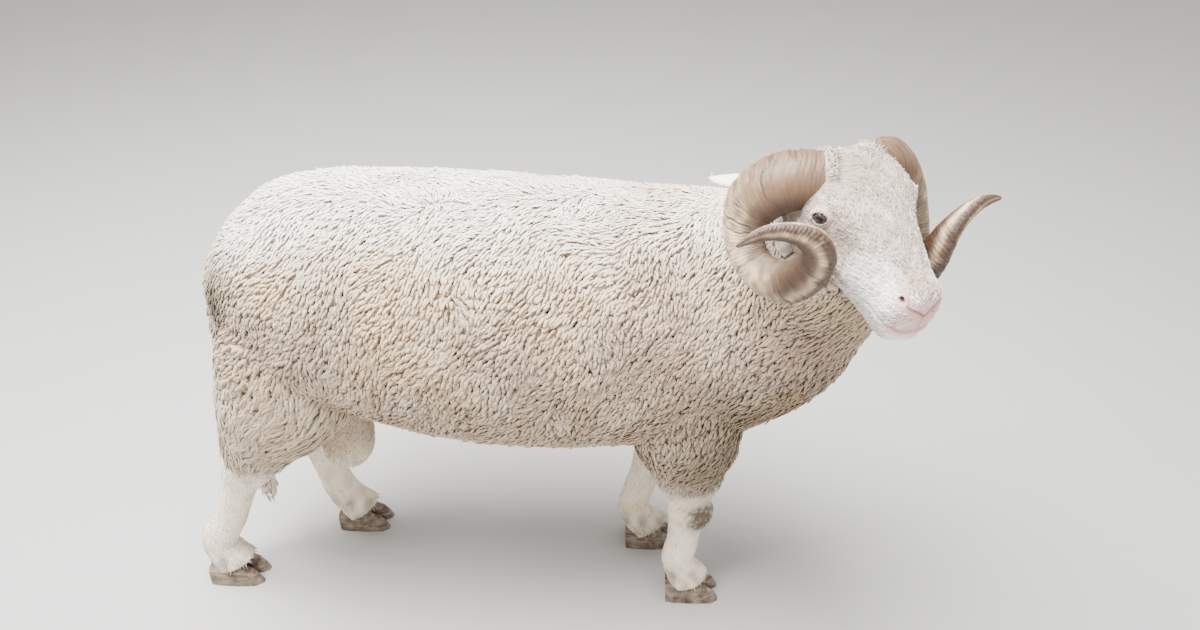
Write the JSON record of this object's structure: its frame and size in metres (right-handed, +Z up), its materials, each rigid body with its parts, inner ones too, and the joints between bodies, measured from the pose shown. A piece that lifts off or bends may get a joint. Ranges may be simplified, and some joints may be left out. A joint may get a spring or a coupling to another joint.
{
  "type": "horned sheep figure",
  "caption": "Still life-size model of a standing horned ram: fleeced body and neck in rounded clumps, bare face and lower legs, curled ridged horns, cloven hooves and a long tail.",
  "frame": {"origin": "bottom centre of the bounding box, on the ground under the belly", "axes": "+X from rump to chest, +Y to the animal's left, +Z up"},
  "size_m": [1.2411, 0.5884, 0.9103],
  "materials": {
    "fleece": "matt wool in clumps",
    "hair": "short white hair",
    "horn": "ridged, satin",
    "hoof": "worn, matt",
    "eye": "wet gloss"
  },
  "bodies": {
    "root": {"torso": "fleece", "neck": "fleece", "tail": "fleece", "fore_leg_left": "fleece", "fore_leg_right": "fleece", "hind_leg_left": "fleece", "hind_leg_right": "fleece", "scrotum": "hair", "head": "hair", "ear_left": "hair", "ear_right": "hair", "eye_left": "eye", "eye_right": "eye", "horn_left": "horn", "horn_right": "horn", "fore_hoof_left_inner": "hoof", "fore_hoof_left_outer": "hoof", "fore_hoof_right_inner": "hoof", "fore_hoof_right_outer": "hoof", "hind_hoof_left_inner": "hoof", "hind_hoof_left_outer": "hoof", "hind_hoof_right_inner": "hoof", "hind_hoof_right_outer": "hoof"}
  },
  "joints": []
}
